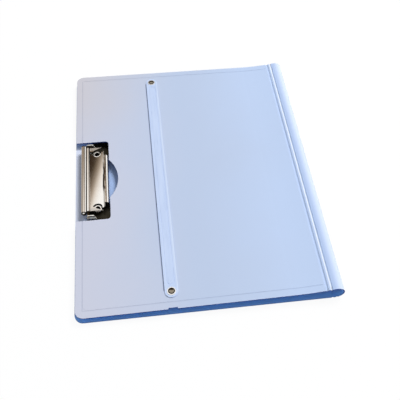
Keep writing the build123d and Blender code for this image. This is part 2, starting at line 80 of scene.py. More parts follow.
# Key lamp, aimed at the middle of the folder
LAMP_PLACE = (1.535, 1.115, 3.036)
LAMP_TARGET = (0.0, 0.0, 0.0)
LAMP_SIZE = 1.3
LAMP_POWER = 109.0

# Floor: its reach each way from the middle, and its glow outside the folder's footprint
FLOOR_REACH = 12.0
FLOOR_COLOUR = (0.94, 0.94, 0.95, 1.0)
FLOOR_GLOW = 0.94
FOOTPRINT_INSET = 8.0 * MM

# Surroundings. The metal sees a sky whose tone falls towards both ends, a little faster on the
# right, up to a bright panel there, each as (from low, from high, to low, to high)
WORLD_COLOUR = (0.94, 0.97, 1.0, 1.0)
WORLD_FILL = 0.42
SKY_SLANT = 0.13
SKY_FALL = (0.52, 0.74, 1.0, 0.0)
SKY_RIGHT_PANEL = (0.47, 0.55, 0.0, 1.0)
SKY_TONES = (
    (0.0, srgb(56, 43, 32)),
    (0.18, srgb(68, 56, 43)),
    (0.3, srgb(106, 91, 75)),
    (0.39, srgb(133, 117, 100)),
    (0.5, srgb(158, 143, 127)),
    (0.6, srgb(196, 181, 166)),
    (0.76, srgb(236, 227, 217)),
    (1.0, srgb(255, 253, 250)),
)

# Webs of thin sheet at the root of each fold groove
WEB_REACH = 0.75 * MM
WEB_LOW = 0.03 * MM
WEB_HIGH = 0.34 * MM
WEB_END_INSET = 0.05 * MM
WEB_COLUMNS = 8
WEB_ROWS = 60
# Each fold: joint, the two bodies and their slopes in degrees from -X to +X, and which way is out
FOLDS = (
    ("rear_fold", "board", 0.0, "rear_strip", 5.3, -1.0),
    ("spine_turn", "rear_strip", 5.3, "spine_shell", 18.0, -1.0),
    ("front_fold", "front_strip", 12.0, "spine_shell", 10.0, 1.0),
    ("cover_turn", "cover", 8.7, "front_strip", 12.0, 1.0),
)

# Below, a span is (from low, from high) of what it runs over, and it goes on with (to low, to high)
# unless those are 0 and 1. A noise is (scale, detail, roughness). A bump is (strength, distance)

# Folder plastic, outer faces. Their colour's drift from the clip's corner to the spine is painted light
FACE_COLOUR_CORNER = srgb(200, 198, 206)
FACE_COLOUR_LEFT = srgb(199, 202, 218)
FACE_COLOUR_RIGHT = srgb(184, 198, 223)
FACE_COLOUR_SPINE = srgb(187, 205, 235)
FACE_CORNER_SPAN = (100.0 * MM, 240.0 * MM)
FACE_LEFT_SPAN = (-125.0 * MM, 0.0)
FACE_RIGHT_SPAN = (0.0, 120.0 * MM)
MOTTLE_NOISE = (7.0, 3.0, 0.55)
MOTTLE_REACH = 90.0 * MM
# Painted shading on the rounded spine: darker on its top, lighter on the side that faces the light
ROUND_COLOUR_TOP = srgb(178, 198, 234)
ROUND_COLOUR_SIDE = srgb(206, 219, 243)
ROUND_START_SPAN = (111.2 * MM, 111.8 * MM)
ROUND_SPAN = (112.5 * MM, 121.5 * MM)
# Painted highlight along the upper fold
UPPER_FOLD_HIGHLIGHT_X = joints["front_fold"]["pos_m"][0] - 0.4 * MM
UPPER_FOLD_HIGHLIGHT_SPAN = (0.4 * MM, 1.1 * MM, 0.5, 0.0)

# Folder plastic, inner faces. A panel's inner face is told from its outer one by the middle of the
# rounded spine in X and Z, or by the height between the leaves where a leaf's face lies level enough
SPINE_MIDDLE = (116.5 * MM, 0.0, 8.5 * MM)
SPINE_WEIGHTS = (1.0, 0.0, 1.0)
LEAVES_MIDDLE = (0.0, 0.0, 5.5 * MM)
LEAVES_WEIGHTS = (0.0, 0.0, 1.0)
LEVEL_FACING = 0.5
# Inner faces: a deeper blue that is painted shade, for light bounced between the leaves, clearer still at the
# ends, and a paler painted light behind the clip
INNER_COLOUR = srgb(164, 188, 230)
INNER_COLOUR_RIM = srgb(136, 192, 255)
INNER_COLOUR_LEFT = srgb(214, 221, 240)
INNER_RIM_SPAN = (147.0 * MM, 155.0 * MM)
BEHIND_CLIP_X_SPAN = (-122.0 * MM, -108.0 * MM, 1.0, 0.0)
BEHIND_CLIP_Y_SPAN = (48.0 * MM, 56.0 * MM, 1.0, 0.0)

# Folder plastic, cut edges: at the leaves' ends, at the clip edge and round the clip's window
# Their deep blue is partly the sheet's own edge colour and partly painted shade, darker high up than low down
EDGE_COLOUR_HIGH = srgb(6, 54, 146)
EDGE_COLOUR_LOW = srgb(82, 130, 202)
EDGE_HEIGHT_SPAN = (0.5 * MM, 8.0 * MM)
EDGE_FACING_SPAN = (0.6, 0.9)
EDGE_END_Y = 154.0 * MM
EDGE_CLIP_X = -122.5 * MM
EDGE_WINDOW_Y = 65.0 * MM
EDGE_ROUGHER = 0.3

# Folder plastic, painted shade lines: the strap's painted shadow beside it and painted shade in the pressed
# border
SHADE_LINE_COLOUR = srgb(92, 104, 138)
STRAP_LEFT_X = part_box("retaining_strap")[0][0]
STRAP_RIGHT_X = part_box("retaining_strap")[1][0]
STRAP_SHADOW_SPAN = (0.8 * MM, 1.4 * MM, 1.0, 0.0)
STRAP_SHADOW_UNDER = -2.0 * MM
STRAP_SHADOW_END_SPAN = (138.0 * MM, 140.0 * MM, 1.0, 0.0)
STRAP_SHADOW_SHARE = 0.75
# Painted shade in the pressed border groove: its place, its width and its strength
BORDER_X = -117.2 * MM
BORDER_END_X = 104.0 * MM
BORDER_Y = 150.5 * MM
BORDER_CLIP_SPAN = (0.2 * MM, 0.6 * MM, 1.0, 0.0)
BORDER_END_SPAN = (0.2 * MM, 0.6 * MM, 0.7, 0.0)
BORDER_SHADE_SHARE = 0.22

# Folder plastic, surface
FOLDER_SPECULAR = 0.35
PLASTIC_IOR = 1.49
FOLDER_GLOSS_NOISE = (240.0, 2.0)
FOLDER_GLOSS_SPAN = (0.3, 0.7, 0.36, 0.46)
FOLDER_GRAIN_NOISE = (2600.0, 2.0, 0.6)
FOLDER_WAVE_NOISE = (26.0, 2.0, 0.4)
FOLDER_WAVE_HEIGHT = 6.0
FOLDER_BUMP = (0.12, 0.12 * MM)

# Strap plastic
STRAP_COLOUR = srgb(190, 206, 236)
STRAP_COLOUR_PALE = srgb(196, 211, 239)
# Painted highlight along the strap's right edge
STRAP_HIGHLIGHT_COLOUR = srgb(224, 232, 240)
STRAP_HIGHLIGHT_SPAN = (0.3 * MM, 1.3 * MM, 1.0, 0.0)
STRAP_HIGHLIGHT_SHARE = 0.45
STRAP_STREAK_NOISE = (60.0, 3.0, 0.5)
STRAP_STREAK_STRETCH = (4.0, 0.35, 4.0)
STRAP_STREAK_SPAN = (0.35, 0.65)
STRAP_GLOSS_SPAN = (0.3, 0.7, 0.26, 0.34)
STRAP_SPECULAR = 0.5
STRAP_BUMP_NOISE = (420.0, 3.0)
STRAP_BUMP = (0.1, 0.06 * MM)

# Plated metal. A plate is (colour, dull colour, least roughness, most roughness)
# Painted shade for the jaw's end faces and the ring at each end of the roll
END_SHADE_COLOUR = (0.05, 0.042, 0.034, 1.0)
PLATE_STREAK_NOISE = (900.0, 2.0, 0.5)
PLATE_STREAK_STRETCH = (1.0, 0.03, 1.0)
PLATE_SMUDGE_NOISE = (70.0, 3.0, 0.6)
PLATE_SMUDGE_SPAN = (0.4, 0.75)
PLATE_GLOSS_SPAN = (0.3, 0.7)
PLATE_BUMP = (0.1, 0.02 * MM)
JAW_PLATE = ((0.97, 0.955, 0.93, 1.0), (0.9, 0.885, 0.86, 1.0), 0.06, 0.11)
EYELET_PLATE = ((0.95, 0.93, 0.9, 1.0), (0.8, 0.78, 0.74, 1.0), 0.08, 0.16)
CAP_PLATE = ((0.95, 0.93, 0.91, 1.0), (0.86, 0.84, 0.81, 1.0), 0.1, 0.2)

# Jaw: across the rolled edge from its left side to the fold, painted reflections: dark and brown bands that
# give way to the plate's own colour
ROLL_LEFT_X = -118.1 * MM
FOLD_X = -112.9 * MM
ROLL_REFLECTION_TONES = (
    (0.04, (0.17, 0.14, 0.125, 1.0)),
    (0.16, (0.5, 0.41, 0.32, 1.0)),
    (0.22, (0.46, 0.38, 0.29, 1.0)),
    (0.3, (0.2, 0.175, 0.145, 1.0)),
    (0.35, (0.22, 0.19, 0.165, 1.0)),
    (0.43, (0.97, 0.97, 0.97, 1.0)),
)
# Jaw: painted shade in the fold and on the dark foot of the ridge
FOLD_SHADE_COLOUR = (0.07, 0.055, 0.045, 1.0)
FOLD_SHADE_SPAN = (0.2 * MM, 0.6 * MM, 1.0, 0.0)
FOLD_SHADE_SHARE = 0.9
FLANK_X = -109.6 * MM
FLANK_SPAN = (0.4 * MM, 0.7 * MM, 1.0, 0.0)
FLANK_LENGTH_SPAN = (-30.0 * MM, 30.0 * MM)
FLANK_SHADE_NEAR = (0.34, 0.28, 0.23, 1.0)
FLANK_SHADE_FAR = (0.05, 0.036, 0.024, 1.0)
# Jaw: the dark wavy line on the lip, strongest in its middle, and the lip's deeper waves
LIP_X = -94.9 * MM
LIP_START = 1.0 * MM
LIP_COLOUR = (0.04, 0.032, 0.022, 1.0)
LIP_LINE_SPAN = (0.6 * MM, 1.3 * MM, 1.0, 0.0)
LIP_LENGTH_SPAN = (12.0 * MM, 20.0 * MM, 1.0, 0.3)
LIP_WANDER_NOISE = (60.0, 2.0, 0.5)
LIP_WANDER_REACH = 3.5 * MM
LIP_WAVE_GAIN = 30.0
JAW_WAVE_NOISE = (75.0, 2.0, 0.5)
JAW_STREAK_HEIGHT = 0.05
JAW_BUMP = (0.4, 0.02 * MM)
# Jaw: painted shade on the cut ends and in a ring at each end of the roll, duller horns, and the domes that
# close the rolled edge, with a painted highlight where they face the direction (0, 0.6, 0.8) or its mirror
# and painted shade round that
END_SHADE_FACING_SPAN = (0.7, 0.9)
END_SHADE_REACH = 0.2 * MM
HORN_FROM_MIDDLE = 38.5 * MM
HORN_FROM_FOLD = 2.0 * MM
HORN_ROUGHNESS = (0.28, 0.28, 0.28, 1.0)
ROLL_HALF_LENGTH = 44.4 * MM
ROLL_RING_SPAN = (ROLL_HALF_LENGTH - 1.1 * MM, ROLL_HALF_LENGTH - 0.8 * MM)
ROLL_DOME_START_SPAN = (ROLL_HALF_LENGTH, ROLL_HALF_LENGTH + 0.1 * MM)
ROLL_DOME_FACING = (0.6, 0.8)
ROLL_DOME_HIGHLIGHT_SPAN = (0.86, 0.97)
ROLL_DOME_SHADE_COLOUR = (0.02, 0.018, 0.016, 1.0)

# Eyelets and the strap's rivet caps: places in plan, one each side of the middle, and the radii
# where their finishes change, with painted shade in the eyelets' bores and round the caps' feet
EYELET_PLACE = (-102.0 * MM, 36.2 * MM)
BORE_SPAN = (2.3 * MM, 2.6 * MM, 1.0, 0.0)
BORE_SHADE_COLOUR = (0.012, 0.011, 0.01, 1.0)
CAP_PLACE = (sum(corner[0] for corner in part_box("strap_rivet_caps")) / 2, 140.0 * MM)
CAP_DOME_SPAN = (2.6 * MM, 3.0 * MM, 1.0, 0.0)
CAP_DOME_COLOUR = (0.3, 0.265, 0.21, 1.0)
CAP_FOOT_SHADE_COLOUR = (0.03, 0.028, 0.026, 1.0)
CAP_FOOT_INNER_SPAN = (2.1 * MM, 2.6 * MM)
CAP_FOOT_OUTER_SPAN = (3.1 * MM, 3.4 * MM, 1.0, 0.0)
CAP_RIM_METALLIC_SPAN = (3.1 * MM, 3.4 * MM, 1.0, 0.45)

# Hinge pin
PIN_COLOUR_DARK = (0.52, 0.36, 0.2, 1.0)
PIN_COLOUR_LIGHT = (0.66, 0.5, 0.32, 1.0)
PIN_MARK_NOISE = (900.0, 2.0, 0.5)
PIN_MARK_STRETCH = (0.2, 3.0, 0.2)
PIN_MARK_SPAN = (0.35, 0.65)
PIN_GLOSS_SPAN = (0.3, 0.7, 0.2, 0.32)
PIN_BUMP = (0.1, 0.02 * MM)

# Base plate and its ears. The ears' outer faces carry a painted reflection, dark above and below a bright
# band, with painted shade low down; their inner faces have painted shade and their tops a painted highlight
BASE_COLOUR_DARK = srgb(52, 48, 38)
BASE_COLOUR_LIGHT = srgb(66, 61, 50)
BASE_SMUDGE_NOISE = (120.0, 3.0, 0.6)
BASE_SMUDGE_SPAN = (0.35, 0.7)
BASE_GLOSS_SPAN = (0.3, 0.7, 0.26, 0.38)
BASE_BUMP_NOISE = (1500.0, 2.0)
BASE_BUMP = (0.08, 0.03 * MM)
EAR_FROM_MIDDLE = 46.0 * MM
EAR_INNER_FACE = 46.9 * MM
EAR_START_SPAN = (3.5 * MM, 4.5 * MM)
EAR_LOW_SPAN = (5.2 * MM, 6.0 * MM, 1.0, 0.0)
EAR_HIGH_SPAN = (9.0 * MM, 9.8 * MM)
EAR_TOP_SPAN = (0.5, 0.8)
EAR_SHADE_LOW = (0.015, 0.015, 0.045, 1.0)
EAR_REFLECTION_BAND = (1.0, 0.99, 0.86, 1.0)
EAR_REFLECTION_HIGH = (0.07, 0.05, 0.04, 1.0)
EAR_SHADE_INNER = (0.12, 0.1, 0.08, 1.0)
EAR_HIGHLIGHT_TOP = (1.0, 0.98, 0.92, 1.0)
EAR_METALLIC_SPAN = (0.0, 1.0, 0.75, 0.3)
EAR_ROUGHER = 0.45

# Springs
SPRING_COLOUR_DARK = srgb(150, 150, 152)
SPRING_COLOUR_LIGHT = srgb(186, 186, 188)
SPRING_LINE_NOISE = (2400.0, 2.0, 0.5)
SPRING_LINE_STRETCH = (1.0, 0.2, 1.0)
SPRING_LINE_SPAN = (0.3, 0.7)
SPRING_GLOSS_SPAN = (0.3, 0.7, 0.25, 0.4)
SPRING_BUMP = (0.2, 0.03 * MM)


class Tree:
    """Short calls for building a node tree."""

    def __init__(self, tree):
        self.tree = tree

    def add(self, kind, **settings):
        node = self.tree.nodes.new(kind)
        for key, value in settings.items():
            setattr(node, key, value)
        return node

    def link(self, output, target):
        self.tree.links.new(output, target)

    def feed(self, value, socket):
        """Set a socket to a number or colour, or link an output to it."""
        if isinstance(value, (int, float, tuple)):
            socket.default_value = value
        else:
            self.link(value, socket)

    def maths(self, operation, first, second=0.0):
        node = self.add("ShaderNodeMath", operation=operation)
        self.feed(first, node.inputs[0])
        self.feed(second, node.inputs[1])
        return node.outputs["Value"]

    def plus(self, first, second):
        return self.maths("ADD", first, second)

    def minus(self, first, second):
        return self.maths("SUBTRACT", first, second)

    def times(self, first, *others):
        for other in others:
            first = self.maths("MULTIPLY", first, other)
        return first

    def larger(self, first, *others):
        for other in others:
            first = self.maths("MAXIMUM", first, other)
        return first

    def above(self, first, second):
        return self.maths("GREATER_THAN", first, second)

    def below(self, first, second):
        return self.maths("LESS_THAN", first, second)

    def size(self, value):
        return self.maths("ABSOLUTE", value)

    def split(self, vector):
        node = self.add("ShaderNodeSeparateXYZ")
        self.link(vector, node.inputs[0])
        return node.outputs["X"], node.outputs["Y"], node.outputs["Z"]

    def span(self, value, low, high, out_low=0.0, out_high=1.0, kind="SMOOTHSTEP"):
        node = self.add("ShaderNodeMapRange", interpolation_type=kind)
        for key, number in (("From Min", low), ("From Max", high), ("To Min", out_low), ("To Max", out_high)):
            node.inputs[key].default_value = number
        self.link(value, node.inputs["Value"])
        return node.outputs["Result"]

    def ramp(self, factor, stops):
        ramp = self.add("ShaderNodeValToRGB")
        elements = ramp.color_ramp.elements
        while len(elements) < len(stops):
            elements.new(0.5)
        for element, (place, colour) in zip(elements, stops):
            element.position = place
            element.color = colour
        self.link(factor, ramp.inputs["Fac"])
        return ramp.outputs["Color"]

    def mix(self, factor, first, second, blend_type="MIX"):
        node = self.add("ShaderNodeMix", data_type="RGBA", blend_type=blend_type)
        self.feed(factor, node.inputs["Factor"])
        self.feed(first, node.inputs["A"])
        self.feed(second, node.inputs["B"])
        return node.outputs["Result"]

    def mix_shaders(self, factor, first, second):
        node = self.add("ShaderNodeMixShader")
        self.link(factor, node.inputs["Fac"])
        self.link(first, node.inputs[1])
        self.link(second, node.inputs[2])
        return node.outputs[0]

    def seen(self):
        """1 for the rays that show things: camera, glossy and transmission ones."""
        path = self.add("ShaderNodeLightPath")
        return self.larger(
            path.outputs["Is Camera Ray"], path.outputs["Is Glossy Ray"], path.outputs["Is Transmission Ray"]
        )


class Finish(Tree):
    """A node material on its shader, with the object's own coordinates."""

    def __init__(self, name):
        self.material = bpy.data.materials.new(name)
        self.material.use_nodes = True
        super().__init__(self.material.node_tree)
        self.shader = self.tree.nodes["Principled BSDF"]

    def set(self, **values):
        for key, value in values.items():
            self.shader.inputs[key.replace("_", " ")].default_value = value

    def position(self):
        return self.add("ShaderNodeTexCoord").outputs["Object"]

    def normal(self):
        return self.add("ShaderNodeTexCoord").outputs["Normal"]

    def facing(self):
        """How squarely the surface faces along X, Y and Z, whichever way round."""
        return [self.size(part) for part in self.split(self.normal())]

    def stretched(self, scale):
        mapping = self.add("ShaderNodeMapping")
        mapping.inputs["Scale"].default_value = scale
        self.link(self.position(), mapping.inputs["Vector"])
        return mapping.outputs["Vector"]

    def noise(self, scale, detail=3.0, roughness=0.5, vector=None):
        noise = self.add("ShaderNodeTexNoise")
        noise.inputs["Scale"].default_value = scale
        noise.inputs["Detail"].default_value = detail
        noise.inputs["Roughness"].default_value = roughness
        self.link(vector or self.position(), noise.inputs["Vector"])
        return noise.outputs["Fac"]

    def wander(self, noise, reach):
        """Offset that wanders to both sides of zero."""
        return self.times(self.minus(self.noise(*noise), 0.5), reach)

    def grey(self, value):
        node = self.add("ShaderNodeCombineColor")
        for socket in node.inputs:
            self.link(value, socket)
        return node.outputs["Color"]

    def radius_from(self, centre_x, centre_y):
        """Distance in plan from the nearer of two upright axes, one each side of the middle."""
        x, y, _ = self.split(self.position())
        across = self.minus(x, centre_x)
        along = self.minus(self.size(y), centre_y)
        return self.maths("SQRT", self.plus(self.times(across, across), self.times(along, along)))

    def colour(self, output):
        self.link(output, self.shader.inputs["Base Color"])

    def roughness(self, output):
        self.link(output, self.shader.inputs["Roughness"])

    def metallic(self, output):
        self.link(output, self.shader.inputs["Metallic"])

    def bump(self, height, strength, distance):
        node = self.add("ShaderNodeBump")
        node.inputs["Strength"].default_value = strength
        node.inputs["Distance"].default_value = distance
        self.link(height, node.inputs["Height"])
        self.link(node.outputs["Normal"], self.shader.inputs["Normal"])


def outer_face(m, x, y, rounded):
    """Colour of a panel's outer face, which drifts from the clip's corner to the spine as painted light, with
    painted shading and a painted highlight on the rounded spine.
    """
    drift = m.plus(x, m.wander(MOTTLE_NOISE, MOTTLE_REACH))
    corner = m.span(m.minus(y, drift), *FACE_CORNER_SPAN)
    face = m.mix(corner, FACE_COLOUR_LEFT, FACE_COLOUR_CORNER)
    face = m.mix(m.span(drift, *FACE_LEFT_SPAN), face, FACE_COLOUR_RIGHT)
    face = m.mix(m.span(drift, *FACE_RIGHT_SPAN), face, FACE_COLOUR_SPINE)
    if rounded:
        # Painted shading across the rounded spine
        bend = m.mix(m.span(x, *ROUND_SPAN), ROUND_COLOUR_TOP, ROUND_COLOUR_SIDE)
        face = m.mix(m.span(x, *ROUND_START_SPAN), face, bend)
        # Painted highlight along the upper fold
        from_line = m.size(m.minus(x, UPPER_FOLD_HIGHLIGHT_X))
        face = m.mix(m.span(from_line, *UPPER_FOLD_HIGHLIGHT_SPAN), face, WHITE)
    return face


def inner_face(m, x, from_middle):
    """Colour of a panel's inner face, painted shade deeper than the outer face: paler with painted light
    behind the clip, clearer at its ends.
    """
    behind_clip = m.times(m.span(x, *BEHIND_CLIP_X_SPAN), m.span(from_middle, *BEHIND_CLIP_Y_SPAN))
    face = m.mix(behind_clip, INNER_COLOUR, INNER_COLOUR_LEFT)
    return m.mix(m.span(from_middle, *INNER_RIM_SPAN), face, INNER_COLOUR_RIM)


def faces_middle(m, middle, weights):
    """1 where the surface faces a middle, told only by the weighted directions, and 0 elsewhere."""
    place = m.add("ShaderNodeVectorMath", operation="MULTIPLY")
    place.inputs[1].default_value = weights
    m.link(m.position(), place.inputs[0])
    outward = m.add("ShaderNodeVectorMath", operation="SUBTRACT")
    outward.inputs[1].default_value = middle
    m.link(place.outputs[0], outward.inputs[0])
    turned = m.add("ShaderNodeVectorMath", operation="DOT_PRODUCT")
    m.link(outward.outputs[0], turned.inputs[0])
    m.link(m.normal(), turned.inputs[1])
    return m.below(turned.outputs["Value"], 0.0)


def leaf_edges(m, x, from_middle, facing_x, facing_y):
    """1 on the leaves' outermost cut edges and those of the clip's window."""
    edge = m.larger(m.span(facing_y, *EDGE_FACING_SPAN), m.span(facing_x, *EDGE_FACING_SPAN))
    outermost = m.larger(
        m.above(from_middle, EDGE_END_Y), m.below(x, EDGE_CLIP_X), m.below(from_middle, EDGE_WINDOW_Y)
    )
    return m.times(edge, outermost)


def paint_shade_lines(m, face, x, from_middle, height):
    """Painted shadow beside the strap and painted shade in the pressed border line, both on the cover only.
    """
    on_cover = m.above(height, LEAVES_MIDDLE[2])
    beside_strap = m.minus(STRAP_LEFT_X, x)
    # Painted shadow of the strap, on the cover left of it
    strap_shadow = m.times(
        m.span(beside_strap, *STRAP_SHADOW_SPAN),
        m.above(beside_strap, STRAP_SHADOW_UNDER),
        m.span(from_middle, *STRAP_SHADOW_END_SPAN),
        on_cover,
    )
    face = m.mix(m.times(strap_shadow, STRAP_SHADOW_SHARE), face, SHADE_LINE_COLOUR)
    # Painted shade in the pressed border groove
    clip_side = m.span(m.size(m.minus(x, BORDER_X)), *BORDER_CLIP_SPAN)
    clip_side = m.times(clip_side, m.below(from_middle, BORDER_Y))
    end_side = m.span(m.size(m.minus(from_middle, BORDER_Y)), *BORDER_END_SPAN)
    end_side = m.times(end_side, m.above(x, BORDER_X))
    border = m.times(m.larger(clip_side, end_side), on_cover, m.below(x, BORDER_END_X))
    return m.mix(m.times(border, BORDER_SHADE_SHARE), face, SHADE_LINE_COLOUR)


def folder_plastic(name, rounded):
    """Satin sheet plastic: faint mottling and grain, painted light on its outer faces, painted shade that
    deepens its colour inside, and where it is cut a deeper blue, partly its own and partly painted shade.
    """
    m = Finish(name)
    x, y, height = m.split(m.position())
    facing_x, facing_y, facing_z = m.facing()
    from_middle = m.size(y)
    face = outer_face(m, x, y, rounded)
    if rounded:
        inside = faces_middle(m, SPINE_MIDDLE, SPINE_WEIGHTS)
        edge = m.span(facing_y, *EDGE_FACING_SPAN)
    else:
        inside = m.times(faces_middle(m, LEAVES_MIDDLE, LEAVES_WEIGHTS), m.above(facing_z, LEVEL_FACING))
        edge = leaf_edges(m, x, from_middle, facing_x, facing_y)
    # Inner faces take painted shade
    face = m.mix(inside, face, inner_face(m, x, from_middle))
    if not rounded:
        face = paint_shade_lines(m, face, x, from_middle, height)
    # Cut edges: their own deep blue, with painted shade that darkens them higher up
    edge_colour = m.mix(m.span(height, *EDGE_HEIGHT_SPAN), EDGE_COLOUR_LOW, EDGE_COLOUR_HIGH)
    m.colour(m.mix(edge, face, edge_colour))
    m.set(Specular_IOR_Level=FOLDER_SPECULAR, IOR=PLASTIC_IOR)
    gloss = m.span(m.noise(*FOLDER_GLOSS_NOISE), *FOLDER_GLOSS_SPAN)
    m.roughness(m.plus(gloss, m.times(edge, EDGE_ROUGHER)))
    waves = m.times(m.noise(*FOLDER_WAVE_NOISE), FOLDER_WAVE_HEIGHT)
    m.bump(m.plus(waves, m.noise(*FOLDER_GRAIN_NOISE)), *FOLDER_BUMP)
    return m.material


def strap_plastic():
    """Smoother, slightly clearer strip with a painted highlight as a pale border on its right."""
    m = Finish("strap_plastic")
    streaks = m.noise(*STRAP_STREAK_NOISE, m.stretched(STRAP_STREAK_STRETCH))
    body = m.mix(m.span(streaks, *STRAP_STREAK_SPAN), STRAP_COLOUR, STRAP_COLOUR_PALE)
    x, _, _ = m.split(m.position())
    # Painted highlight as a pale border on the right
    border = m.span(m.minus(STRAP_RIGHT_X, x), *STRAP_HIGHLIGHT_SPAN)
    m.colour(m.mix(m.times(border, STRAP_HIGHLIGHT_SHARE), body, STRAP_HIGHLIGHT_COLOUR))
    m.set(Specular_IOR_Level=STRAP_SPECULAR, IOR=PLASTIC_IOR)
    m.roughness(m.span(streaks, *STRAP_GLOSS_SPAN))
    m.bump(m.noise(*STRAP_BUMP_NOISE), *STRAP_BUMP)
    return m.material


def plated_metal(name, plate):
    """Bright plated sheet: its finish, its smudged colour, its gloss and its rolling streaks."""
    colour, dull, least_rough, most_rough = plate
    m = Finish(name)
    streaks = m.noise(*PLATE_STREAK_NOISE, m.stretched(PLATE_STREAK_STRETCH))
    smudges = m.noise(*PLATE_SMUDGE_NOISE)
    m.set(Metallic=1.0)
    face = m.mix(m.span(smudges, *PLATE_SMUDGE_SPAN), colour, dull)
    gloss = m.span(smudges, *PLATE_GLOSS_SPAN, least_rough, most_rough)
    return m, face, gloss, streaks


def jaw_marks(m, face, x, y, from_middle):
    """Painted reflections across the roll, painted shade in the fold and on the foot of the ridge, and a dark
    wavy line on the lip.
    """
    # Painted reflections across the roll
    across_roll = m.span(x, ROLL_LEFT_X, FOLD_X, kind="LINEAR")
    face = m.mix(1.0, face, m.ramp(across_roll, ROLL_REFLECTION_TONES), "MULTIPLY")
    # Painted shade in the fold between the roll and the ridge
    fold_shade = m.span(m.size(m.minus(x, FOLD_X)), *FOLD_SHADE_SPAN)
    face = m.mix(m.times(fold_shade, FOLD_SHADE_SHARE), face, FOLD_SHADE_COLOUR)
    # Painted shade on the ridge's foot, darker towards the far end
    flank_colour = m.mix(m.span(y, *FLANK_LENGTH_SPAN), FLANK_SHADE_NEAR, FLANK_SHADE_FAR)
    flank = m.span(m.size(m.minus(x, FLANK_X)), *FLANK_SPAN)
    face = m.mix(flank, face, flank_colour)
    from_lip = m.size(m.minus(m.plus(x, m.wander(LIP_WANDER_NOISE, LIP_WANDER_REACH)), LIP_X))
    lip_line = m.times(m.span(from_lip, *LIP_LINE_SPAN), m.span(from_middle, *LIP_LENGTH_SPAN))
    return m.mix(lip_line, face, LIP_COLOUR)


def jaw_ends(m, face, from_middle):
    """Painted shade on the cut ends and in a ring at each end of the roll, and on its domes painted shade
    round a painted highlight.
    """
    _, facing_y, facing_z = m.facing()
    # Painted shade on the end faces
    end_shade = m.span(facing_y, *END_SHADE_FACING_SPAN)
    end_shade = m.times(end_shade, m.below(from_middle, ROLL_HALF_LENGTH + END_SHADE_REACH))
    squarely = m.plus(m.times(facing_y, ROLL_DOME_FACING[0]), m.times(facing_z, ROLL_DOME_FACING[1]))
    # Painted highlight on the domes, with painted shade round it
    dome = m.mix(m.span(squarely, *ROLL_DOME_HIGHLIGHT_SPAN), ROLL_DOME_SHADE_COLOUR, WHITE)
    # Painted shade in a ring at each end of the roll
    face = m.mix(m.span(from_middle, *ROLL_RING_SPAN), face, END_SHADE_COLOUR)
    face = m.mix(m.span(from_middle, *ROLL_DOME_START_SPAN), face, dome)
    return m.mix(end_shade, face, END_SHADE_COLOUR)


def jaw_metal():
    """The jaw's plate, with duller horns and a wavy lip."""
    m, face, gloss, streaks = plated_metal("clip_chrome", JAW_PLATE)
    x, y, _ = m.split(m.position())
    from_middle = m.size(y)
    face = jaw_marks(m, face, x, y, from_middle)
    m.colour(jaw_ends(m, face, from_middle))
    horn = m.times(m.above(from_middle, HORN_FROM_MIDDLE), m.above(x, FOLD_X + HORN_FROM_FOLD))
    m.roughness(m.mix(horn, m.grey(gloss), HORN_ROUGHNESS))
    lip_gain = m.plus(m.times(m.span(x, LIP_X - LIP_START, LIP_X), LIP_WAVE_GAIN), 1.0)
    waves = m.times(m.noise(*JAW_WAVE_NOISE), lip_gain)
    m.bump(m.plus(waves, m.times(streaks, JAW_STREAK_HEIGHT)), *JAW_BUMP)
    return m.material


def eyelet_metal():
    """Nickel eyelets with painted shade in the bore."""
    m, face, gloss, streaks = plated_metal("eyelet_metal", EYELET_PLATE)
    m.colour(m.mix(m.span(m.radius_from(*EYELET_PLACE), *BORE_SPAN), face, BORE_SHADE_COLOUR))
    m.roughness(gloss)
    m.bump(streaks, *PLATE_BUMP)
    return m.material


def rivet_metal():
    """Strap rivets: a brown dome, a dark line of painted shade round its foot and a bright rim."""
    m, face, gloss, streaks = plated_metal("rivet_metal", CAP_PLATE)
    radius = m.radius_from(*CAP_PLACE)
    face = m.mix(m.span(radius, *CAP_DOME_SPAN), face, CAP_DOME_COLOUR)
    # Painted shade in the crease round the dome's foot
    foot_shade = m.times(m.span(radius, *CAP_FOOT_INNER_SPAN), m.span(radius, *CAP_FOOT_OUTER_SPAN))
    m.colour(m.mix(foot_shade, face, CAP_FOOT_SHADE_COLOUR))
    m.metallic(m.span(radius, *CAP_RIM_METALLIC_SPAN))
    m.roughness(gloss)
    m.bump(streaks, *PLATE_BUMP)
    return m.material


def pin_metal():
    """Brass-coloured pin with turning marks."""
    m = Finish("pin_metal")
    marks = m.noise(*PIN_MARK_NOISE, m.stretched(PIN_MARK_STRETCH))
    m.colour(m.mix(m.span(marks, *PIN_MARK_SPAN), PIN_COLOUR_DARK, PIN_COLOUR_LIGHT))
    m.set(Metallic=1.0)
    m.roughness(m.span(marks, *PIN_GLOSS_SPAN))
    m.bump(marks, *PIN_BUMP)
    return m.material


